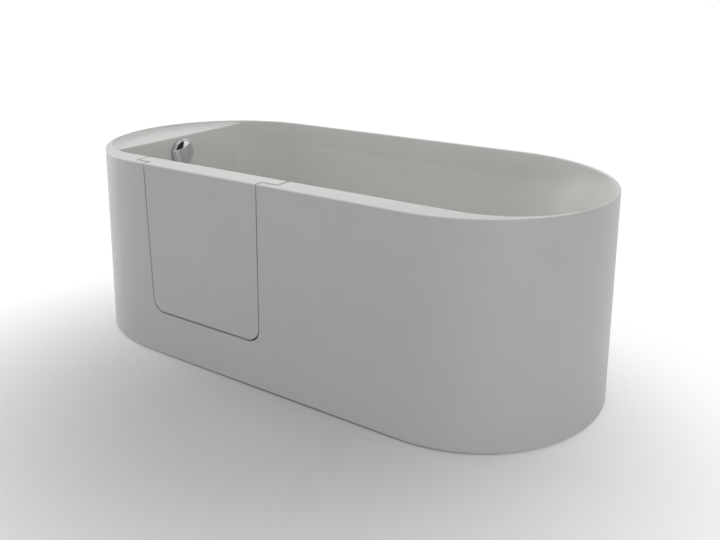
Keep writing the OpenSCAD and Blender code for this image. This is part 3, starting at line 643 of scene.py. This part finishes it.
def door_cutter(door, gap, soft=2.0, inside=6.0, outside=5.0):
    """The opening that the door leaves in the moulding and the skirt, with its edges eased."""
    r0, r1, face = door.panel_r + gap, door.flange_r + gap, door.step - gap
    chain = [(r0 + soft, door.front - 5)]
    chain += [(r0 + soft - soft * s, door.front + soft - soft * c) for s, c in turns(5)]
    chain.append((r0, door.front + 4.0))
    first = len(chain)
    chain += [(r0, door.front + d) for d in (6.0, 8.0, 10.0, door.fade)]
    chain += [(r0 + inside - inside * c, face - inside + inside * s) for s, c in turns(6)]
    chain += [(r1 - outside + outside * s, face + STEP_OFF + outside - outside * c) for s, c in turns(6)]
    chain += [(r1, door.near + 5)]
    ends = [(LIP[0][0], 10.0)] + LIP
    ends = [(d, door.top + z) for d, z in ends]
    rings = []
    for (r, y), n in zip(chain, outward(chain, first, len(chain))):
        rings.append(door.leaning(r, y, n, ends, door.top - LIP_DEEP - 0.5))
    return ring_loft("cutter", rings)


def drill(r, low, high, place):
    """Round cutter along the local Z of place."""
    return turned("cutter", [(0.0, low), (r, low), (r, high), (0.0, high)], place, steps=96)


# ---------------------------------------------------------------- operators


class BATHTUB_OT_moulding(bpy.types.Operator):
    """Basin, rim and deck as one smooth moulding, with the door's opening cut through it"""

    bl_idname = "bathtub.moulding"
    bl_label = "Basin moulding"

    def execute(self, context):
        sizes = context.scene.bathtub_sizes
        plan = Plan(sizes)
        columns = [self.column(plan, sizes, i) for i in range(len(plan.mouth))]
        count = {len(c) for c in columns}
        if len(count) != 1:
            raise RuntimeError(f"the columns differ: {sorted(count)}")
        rings = [[c[j] for c in columns] for j in range(len(columns[0]))]
        tub = ring_loft("basin_moulding", rings)
        cut(tub, door_cutter(DoorPlan(plan, OPENING_LIFT), sizes.seam / MM))
        past, through = 5.0, 40.0  # reach of the cutters in front of a surface and behind it
        low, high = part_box("waste_flange")
        middle = (low + high) / 2
        drain = Matrix.Translation((middle.x, middle.y, 0))
        cut(tub, drill(sizes.drain / 2 / MM, 0.0, plan.floor + past, drain))
        low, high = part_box("overflow_plate")
        middle = (low + high) / 2
        wall = Matrix.Translation((plan.flat * MM, middle.y, middle.z)) @ Matrix.Rotation(math.pi / 2, 4, "Y")
        cut(tub, drill(sizes.overflow / 2 / MM, -through, past, wall))
        # The overflow's plate sits in a recess.
        play, recess = 0.3, 0.6
        cut(tub, drill((high.z - low.z) / 2 / MM + play, -recess, past, wall))
        dress(tub, FINISH["solid"], "tub", "white", "basin")
        return {"FINISHED"}

    def column(self, plan, sizes, i):
        """Points up the back of the wall, over the rim and down to the floor."""
        inner, edge = sizes.inner_edge / MM, sizes.edge / MM
        under = plan.top - plan.drop - plan.wall
        mx, my, _ = plan.mouth[i]
        cx, cy, nx, ny = plan.on_contour(i)
        ox, oy, qx, qy = plan.on_outside(cx, cy)
        gap = math.hypot(cx - mx, cy - my)
        column = self.back(plan, i, under)
        column.append((ox, oy, under))
        for s, c in turns(5):
            column.append((ox - edge * (1 - c) * qx, oy - edge * (1 - c) * qy, plan.top - edge + edge * s))
        lip = len(column)
        for s, c in turns(5):
            d = inner * (1 - s)
            column.append((cx + d * nx, cy + d * ny, plan.top - inner + inner * c))
        start = plan.top - inner
        if mx <= plan.flat + plan.wall_corner and gap > 1e-4:
            # Hollow radius at the foot of the lip, the deck and the edge of the flat wall.
            hollow = plan.drop - inner
            turn = math.acos(1 - min(hollow, gap) / hollow)
            for k in range(1, 7):
                t = turn * k / 6
                d = hollow * (1 - math.cos(t))
                column.append((cx - d * nx, cy - d * ny, start - hollow * math.sin(t)))
            z = start - hollow * math.sin(turn)
            bead = min(2.5, 0.4 * gap)
            ux, uy = (cx - mx) / gap, (cy - my) / gap
            for s, c in turns(4):
                d = bead * (1 - s)
                column.append((mx + d * ux, my + d * uy, z - bead + bead * c))
            start = z - bead
        else:
            # As many points as on the deck, close below the edge.
            count, spacing = 11, 0.15
            column += [(mx, my, start - spacing * k) for k in range(1, count + 1)]
            start -= spacing * count
        slope = len(column) + plan.bend_points
        column += plan.wall_profile(i, 0.0, 12, start)
        return self.rolled(plan, i, column, (cx, cy, nx, ny), lip, slope)

    def back(self, plan, i, under):
        """Points up the back of the wall, from the floor to the rim's underside."""
        foot = 8
        back = plan.wall_profile(i, plan.wall, foot, plan.top - 1)[::-1]
        a = [p for p in back if p[2] < under - 1][-1]
        if back[-1][2] >= under - 1:
            b = next(p for p in back if p[2] >= under - 1)
        else:
            b = (back[-1][0], back[-1][1], under + 1)
        t = (under - a[2]) / (b[2] - a[2]) if abs(b[2] - a[2]) > 1e-6 else 0.0
        top = (a[0] + (b[0] - a[0]) * t, a[1] + (b[1] - a[1]) * t, under)
        return back[: foot + 1] + [back[foot + plan.slope_points - 1], top]

    def rolled(self, plan, i, column, place, lip, slope, flat=7.0, down=40.0):
        """Where the slope starts at the rim, the lip rolls over into it in one curve."""
        # In full where the shoulder is within 6 mm of the rim, and not at all from 14 mm.
        share = min(1.0, max(0.0, (14.0 - plan.top + plan.shoulders[i]) / 8.0))
        share *= share * (3 - 2 * share)
        if share == 0.0:
            return column
        cx, cy, nx, ny = place
        high = Vector(column[slope])
        way = Vector(column[slope + 1]) - high
        length = way.length
        way.normalize()
        start = Vector((cx + flat * nx, cy + flat * ny, plan.top))
        crest = high + way * ((plan.top - high.z) / way.z)
        end = high + way * min(down, 0.6 * length)
        rolled = list(column)
        for k in range(lip, slope + 1):
            t = (k - lip) / (slope - lip)
            curve = start * (1 - t) ** 2 + crest * 2 * t * (1 - t) + end * t * t
            rolled[k] = tuple(Vector(column[k]).lerp(curve, share))
        return rolled


class BATHTUB_OT_skirt(bpy.types.Operator):
    """Outer skirt, point for point below the rim's outer wall"""

    bl_idname = "bathtub.skirt"
    bl_label = "Outer skirt"

    def execute(self, context):
        sizes = context.scene.bathtub_sizes
        plan = Plan(sizes)
        thick = sizes.skirt / MM
        low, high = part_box("skirt")
        z0, z1 = low.z / MM, high.z / MM
        rounding = 2.0
        # Distance from the outer wall and height: down the outside, round its foot and up the inside.
        profile = [(0.0, z1)]
        profile += [(0.0, z0 + (z1 - z0) * k / 6) for k in range(5, 0, -1)]
        profile += [(-rounding * (1 - c), z0 + rounding - rounding * s) for s, c in turns(3)]
        profile += [(-thick, z0), (-thick, z1)]
        places = []
        for i in range(len(plan.mouth)):
            cx, cy, _, _ = plan.on_contour(i)
            places.append(plan.on_outside(cx, cy))
        rings = []
        for d, z in profile + profile[:1]:
            rings.append([(ox + d * qx, oy + d * qy, z) for ox, oy, qx, qy in places])
        skirt = ring_loft("tub_skirt", rings, caps=(False, False))
        cut(skirt, door_cutter(DoorPlan(plan, OPENING_LIFT), sizes.seam / MM))
        dress(skirt, FINISH["solid"], "tub", "white", "skirt")
        return {"FINISHED"}


class BATHTUB_OT_door(bpy.types.Operator):
    """Stepped plug door, hollow toward the basin"""

    bl_idname = "bathtub.door"
    bl_label = "Door shell"

    def execute(self, context):
        sizes = context.scene.bathtub_sizes
        plan = Plan(sizes)
        door = DoorPlan(plan, DOOR_LIFT)
        edge, inner = sizes.edge / MM, sizes.inner_edge / MM
        soft, inside, outside, back = 2.5, 4, 7, 1.5  # radii from the face to the back
        chain = [(door.panel_r - soft + soft * s, door.front + soft * (1 - c)) for s, c in turns(5)]
        # Rings down the side, where the rounding of the top ends and the lips come in.
        chain += [(door.panel_r, door.front + d) for d in (3.0, 3.5, edge, 6.0, 8.0, 10.0, door.fade)]
        first = len(chain)
        chain += [(door.panel_r + inside * (1 - c), door.step - inside + inside * s) for s, c in turns(5)]
        for s, c in turns(6):
            chain.append((door.flange_r - outside + outside * s, door.step + STEP_OFF + outside * (1 - c)))
        last = len(chain)
        chain += [(door.flange_r, door.near - inner), (door.flange_r, door.near - inner + 0.5)]
        chain += [(door.flange_r - back + back * c, door.near - back + back * s) for s, c in turns(4)]
        rings = []
        for (r, y), n in zip(chain, outward(chain, first, last)):
            top = door.top
            if y < door.front + edge:
                top -= edge - math.sqrt(max(0.0, edge**2 - (door.front + edge - y) ** 2))
            if y > door.near - inner:
                top -= inner - math.sqrt(max(0.0, inner**2 - (y - door.near + inner) ** 2))
            rings.append(door.leaning(r, y, n, [(-d, top + z) for d, z in LIP], top - LIP_DEEP - 0.5))
        # The pocket steps with the door. Its rings need as many points as the others.
        wall, flange_deep = 12, 38
        pocket = door.top - wall
        for r, y in (
            (door.flange_r - wall, door.near + 0.001),
            (door.flange_r - wall, door.near - flange_deep),
            (door.panel_r - wall, door.near - (flange_deep + STEP_OFF)),
            (door.panel_r - wall, door.front + wall),
        ):
            rings.append(door.leaning(r, y, (1.0, 0.0), [(0.0, pocket)] * len(LIP), pocket))
        shell = ring_loft("door_leaf", rings)
        # The bolt's guide sits in a hole through the edge.
        low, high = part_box("bolt_guide")
        middle = (low + high) / 2
        guide = Matrix.Translation((high.x, middle.y, middle.z)) @ Matrix.Rotation(math.pi / 2, 4, "Y")
        cut(shell, drill((high.z - low.z) / 2 / MM, -14.0, 3.0, guide))
        dress(shell, FINISH["solid"], "door", "white", "door_shell")
        return {"FINISHED"}


class BATHTUB_OT_overflow(bpy.types.Operator):
    """Round chrome overflow knob with a slightly domed mirror face"""

    bl_idname = "bathtub.overflow"
    bl_label = "Overflow knob"

    def execute(self, context):
        low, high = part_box("overflow_knob")
        r = (high.z - low.z) / 2 / MM
        deep = (high.x - low.x) / MM
        centre = Vector((low.x, (low.y + high.y) / 2, (low.z + high.z) / 2))
        place = Matrix.Translation(centre) @ Matrix.Rotation(math.pi / 2, 4, "Y")
        dome, bead, stem = 110.0, 3.0, 10.0  # radii of the face, of its edge and of the hub behind it
        wall = 4.0
        rim = deep - (dome - math.sqrt(dome**2 - r**2))
        profile = [(0.0, deep)]
        for k in range(1, 25):
            q = (r - bead - 0.2) * k / 24
            profile.append((q, deep - (dome - math.sqrt(dome**2 - q**2))))
        # The bead takes over from the dome at 84 degrees.
        profile += quarter(r - bead, rim - 2.8, bead, 84, 0, 8)
        # The side, its eased foot, the hollow inside, and the hub with its bore.
        profile += [(r, 8.0), (r, 1.0), (r - 0.8, 0.0), (r - wall, 0.0), (r - wall, deep - 8.0)]
        profile += [(stem, deep - 8.0), (stem, 0.0), (4.0, 0.0), (4.0, deep - 4.0), (0.0, deep - 4.0)]
        knob = turned("overflow_knob_cap", profile, place)
        dress(knob, FINISH["chrome"], "overflow_knob", "chrome", "overflow_knob", angle=40)
        return {"FINISHED"}


class BATHTUB_OT_latch(bpy.types.Operator):
    """Lever handle with a round hub, on the inside of the door"""

    bl_idname = "bathtub.latch"
    bl_label = "Lever handle"

    def execute(self, context):
        low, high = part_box("latch_handle")
        x = (low.x + high.x) / 2 / MM
        hub_r = (high.x - low.x) / 2 / MM
        z = low.z / MM + hub_r
        y0, y1 = low.y / MM, high.y / MM
        deep, bead, foot = y1 - y0, 3.5, 1.0
        place = Matrix.Translation(Vector((x, y0, z)) * MM) @ Matrix.Rotation(-math.pi / 2, 4, "X")
        profile = [(0.0, deep), (4.0, deep)] + quarter(hub_r - bead, deep - bead, bead, 90, 0)
        profile += [(hub_r, foot), (hub_r - foot, 0.0), (0.0, 0.0)]
        hub = turned("latch_hub", profile, place, steps=72)
        dress(hub, FINISH["chrome"], "latch_handle", "chrome", "latch_handle", angle=50)
        # The grip tapers from the hub to a half-round end, with every edge eased.
        top = high.z / MM
        at_hub, at_end = (8.0, z), (7.0, top)  # half width and height
        back, face = y1 - 10.8, y1 - 0.4
        end_r, ease = 6.9, 1.8
        bm = bmesh.new()
        bmesh.ops.create_cube(bm, size=1.0)
        for v in bm.verts:
            wide, up = at_end if v.co.z > 0 else at_hub
            v.co = Vector((x + math.copysign(wide, v.co.x), face if v.co.y > 0 else back, up)) * MM
        depth = {e: abs(e.verts[0].co.y - e.verts[1].co.y) for e in bm.edges}
        ends = [e for e in bm.edges if depth[e] > MM and all(v.co.z > (top - 1) * MM for v in e.verts)]
        bmesh.ops.bevel(
            bm, geom=ends, offset=end_r * MM, segments=14, profile=0.5, affect="EDGES", material=-1
        )
        flat = [e for e in bm.edges if abs(e.verts[0].co.y - e.verts[1].co.y) < 0.1 * MM]
        bmesh.ops.bevel(
            bm, geom=flat, offset=ease * MM, segments=5, profile=0.5, affect="EDGES", material=-1
        )
        bmesh.ops.recalc_face_normals(bm, faces=bm.faces[:])
        grip = to_object("latch_grip", bm)
        dress(grip, FINISH["chrome"], "latch_handle", "chrome", angle=50)
        return {"FINISHED"}


class BATHTUB_OT_fittings(bpy.types.Operator):
    """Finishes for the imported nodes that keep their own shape"""

    bl_idname = "bathtub.fittings"
    bl_label = "Fittings"

    def execute(self, context):
        groups = {
            "steel": "base_frame foot_studs foot_nuts hinge_leaf_frame_lower hinge_leaf_frame_upper "
            "hinge_pin_lower hinge_pin_upper hinge_screws_frame latch_keeper keeper_screws hinge_bar "
            "hinge_leaf_door_lower hinge_leaf_door_upper hinge_screws_door latch_case bolt_guide "
            "latch_spindle latch_bolt overflow_spindle plug_stem",
            "chrome": "waste_flange overflow_plate latch_rosette plug_cap",
            "rubber": "foot_pads waste_gasket overflow_gasket control_cable door_seal plug_seal",
            "pipe": "waste_body overflow_body overflow_pipe",
            "inner": "door_frame door_liner",
            "plywood": "base_board",
        }
        for finish, names in groups.items():
            for name in names.split():
                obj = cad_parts[name]
                obj.data.materials.clear()
                obj.data.materials.append(FINISH[finish])
        return {"FINISHED"}


class BATHTUB_OT_stage(bpy.types.Operator):
    """Pale floor, soft studio light and the camera"""

    bl_idname = "bathtub.stage"
    bl_label = "Stage"

    def execute(self, context):
        scene = context.scene
        look = scene.bathtub_look
        self.floor(look)
        self.world(scene)
        self.lamps(scene)
        self.camera(scene)
        scene.view_settings.view_transform = "Standard"
        return {"FINISHED"}

    def seen(self, tree):
        """One for rays that look at the backdrop: from the camera, a reflection or glass."""
        ray = node(tree, "ShaderNodeLightPath")
        most = ray.outputs["Is Camera Ray"]
        for name in ("Is Glossy Ray", "Is Transmission Ray"):
            links = {0: most, 1: ray.outputs[name]}
            most = node(tree, "ShaderNodeMath", {"operation": "MAXIMUM"}, links).outputs[0]
        return most

    def floor(self, look):
        bm = bmesh.new()
        bmesh.ops.create_grid(bm, x_segments=1, y_segments=1, size=60.0)
        floor = to_object("studio_floor", bm)
        made, tree = new_material("studio_floor")
        seen = self.seen(tree)
        tone = node(
            tree,
            "ShaderNodeMix",
            {"data_type": "RGBA", 6: (*linear(look.floor_bounce), 1), 7: (*linear(look.floor_white), 1)},
            {0: seen},
        )
        paint = node(tree, "ShaderNodeBsdfDiffuse", None, {"Color": tone.outputs[2]})
        # Painted shadow: a soft oval in front of the tub gets no glow, so the tub's shadow is painted on the
        # floor there. The floor whitens away from it, and again toward the far end.
        place = node(tree, "ShaderNodeTexCoord")
        shape = {"Location": (0.09, -0.57, 0.0), "Rotation": (0, 0, 0.147), "Scale": (1.0, 0.76, 1.0)}
        painted_shadow_oval = node(
            tree,
            "ShaderNodeMapping",
            {"vector_type": "TEXTURE", **shape},
            {"Vector": place.outputs["Object"]},
        )
        reach = node(tree, "ShaderNodeVectorMath", {"operation": "LENGTH"}, {"Vector": painted_shadow_oval.outputs[0]})
        near, far = (
            node(
                tree,
                "ShaderNodeMapRange",
                {"interpolation_type": "SMOOTHSTEP", "From Min": low, "From Max": high, "To Max": most},
                {"Value": reach.outputs["Value"]},
            ).outputs[0]
            for low, high, most in ((0.135, 1.59, look.floor_lift), (1.59, 8.0, 0.25 * look.floor_lift))
        )
        white = node(tree, "ShaderNodeMath", {"operation": "ADD"}, {0: near, 1: far})
        lift = node(tree, "ShaderNodeMath", {"operation": "MULTIPLY"}, {0: white.outputs[0], 1: seen})
        glow = node(tree, "ShaderNodeEmission", {"Color": (1, 1, 1, 1)}, {"Strength": lift.outputs[0]})
        both = node(tree, "ShaderNodeAddShader", None, {0: paint.outputs[0], 1: glow.outputs[0]})
        node(tree, "ShaderNodeOutputMaterial", None, {"Surface": both.outputs[0]})
        floor.data.materials.append(made)

    def world(self, scene):
        world = bpy.data.worlds.new("studio_world")
        scene.world = world
        world.use_nodes = True
        tree = world.node_tree
        tree.nodes.clear()
        level = node(tree, "ShaderNodeMapRange", {"To Min": 0.43, "To Max": 1.0}, {"Value": self.seen(tree)})
        # Painted reflection: toward the backrest end and up, the world turns dark for reflected rays only, so
        # that mirrors such as the chrome knob show a dark patch, as of an unlit studio. The camera and the
        # diffuse light see no change.
        place = node(tree, "ShaderNodeTexCoord")
        toward = node(
            tree,
            "ShaderNodeVectorMath",
            {"operation": "DOT_PRODUCT", 1: (0.82, 0.0, 0.57)},
            {0: place.outputs["Generated"]},
        )
        edge = node(
            tree,
            "ShaderNodeMapRange",
            {"From Min": 0.70, "From Max": 0.77, "To Min": 0.0, "To Max": 0.97},
            {"Value": toward.outputs["Value"]},
        )
        glossy = node(tree, "ShaderNodeLightPath").outputs["Is Glossy Ray"]
        times = {"operation": "MULTIPLY"}
        dark = node(tree, "ShaderNodeMath", times, {0: edge.outputs[0], 1: glossy})
        left = node(tree, "ShaderNodeMapRange", {"To Min": 1.0, "To Max": 0.0}, {"Value": dark.outputs[0]})
        strength = node(tree, "ShaderNodeMath", times, {0: level.outputs[0], 1: left.outputs[0]})
        sky = node(tree, "ShaderNodeBackground", {"Color": (1, 1, 1, 1)}, {"Strength": strength.outputs[0]})
        node(tree, "ShaderNodeOutputWorld", None, {"Surface": sky.outputs[0]})

    def lamps(self, scene):
        for name, place, size, power in (
            ("overhead_softbox", (0.0, 0.0, 2.0), 1.6, 8.6),
            ("right_softbox", (4.2, -2.6, 0.65), 1.2, 27.0),
            ("left_softbox", (-4.4, -0.6, 1.5), 2.6, 42.0),
        ):
            lamp = bpy.data.lights.new(name, "AREA")
            lamp.energy = power
            lamp.shape = "DISK"
            lamp.size = size
            made = bpy.data.objects.new(name, lamp)
            made.location = place
            aim = Vector((0, 0, 0.3)) - Vector(place)  # the middle of the tub
            made.rotation_euler = aim.to_track_quat("-Z", "Y").to_euler()
            made.visible_camera = False
            scene.collection.objects.link(made)

    def camera(self, scene):
        """Placed by a fit of the tub's outline to the photograph."""
        lens = bpy.data.cameras.new("camera")
        lens.sensor_width = 36.0
        lens.lens = 37.99
        lens.shift_y = -0.1778
        made = bpy.data.objects.new("camera", lens)
        az, el, roll = 0.5664, 0.2030, 0.0065
        back = Vector((math.sin(az) * math.cos(el), -math.cos(az) * math.cos(el), math.sin(el)))
        right = Vector((math.cos(az), math.sin(az), 0.0))
        up = back.cross(right)
        turn = Matrix((right, up, back)).transposed() @ Matrix.Rotation(roll, 3, "Z")
        made.matrix_world = Matrix.Translation((1.2948, -1.9064, 1.1211)) @ turn.to_4x4()
        scene.collection.objects.link(made)
        scene.camera = made


class BATHTUB_PT_panel(bpy.types.Panel):
    """Lists the pieces"""

    bl_idname = "BATHTUB_PT_panel"
    bl_label = "Bathtub"
    bl_space_type = "VIEW_3D"
    bl_region_type = "UI"
    bl_category = "Bathtub"

    def draw(self, context):
        for group in (context.scene.bathtub_sizes, context.scene.bathtub_look):
            for key in group.bl_rna.properties.keys():
                if key not in ("rna_type", "name"):
                    self.layout.prop(group, key)
        for op in PIECES:
            self.layout.operator(op.bl_idname)


PIECES = (
    BATHTUB_OT_moulding,
    BATHTUB_OT_skirt,
    BATHTUB_OT_door,
    BATHTUB_OT_overflow,
    BATHTUB_OT_latch,
    BATHTUB_OT_fittings,
    BATHTUB_OT_stage,
)
CLASSES = (BathtubSizes, BathtubLook, *PIECES, BATHTUB_PT_panel)
FINISH = {}


def make_finishes(look):
    FINISH["solid"] = satin_solid_surface(look)
    FINISH["inner"] = moulded_abs("moulded_white_abs", "#D6D6D3", "#DADAD7", 0.4)
    FINISH["pipe"] = moulded_abs("moulded_grey_polypropylene", "#74787C", "#82868A", 0.45)
    FINISH["chrome"] = polished_chrome()
    FINISH["steel"] = brushed_stainless()
    FINISH["rubber"] = moulded_rubber()
    FINISH["plywood"] = sealed_birch_plywood()


def register():
    for cls in CLASSES:
        bpy.utils.register_class(cls)
    bpy.types.Scene.bathtub_sizes = bpy.props.PointerProperty(type=BathtubSizes)
    bpy.types.Scene.bathtub_look = bpy.props.PointerProperty(type=BathtubLook)


def unregister():
    del bpy.types.Scene.bathtub_sizes
    del bpy.types.Scene.bathtub_look
    for cls in reversed(CLASSES):
        bpy.utils.unregister_class(cls)


def main():
    register()
    make_finishes(bpy.context.scene.bathtub_look)
    bpy.ops.bathtub.moulding()
    bpy.ops.bathtub.skirt()
    bpy.ops.bathtub.door()
    bpy.ops.bathtub.overflow()
    bpy.ops.bathtub.latch()
    bpy.ops.bathtub.fittings()
    bpy.ops.bathtub.stage()


if __name__ == "__main__":
    main()
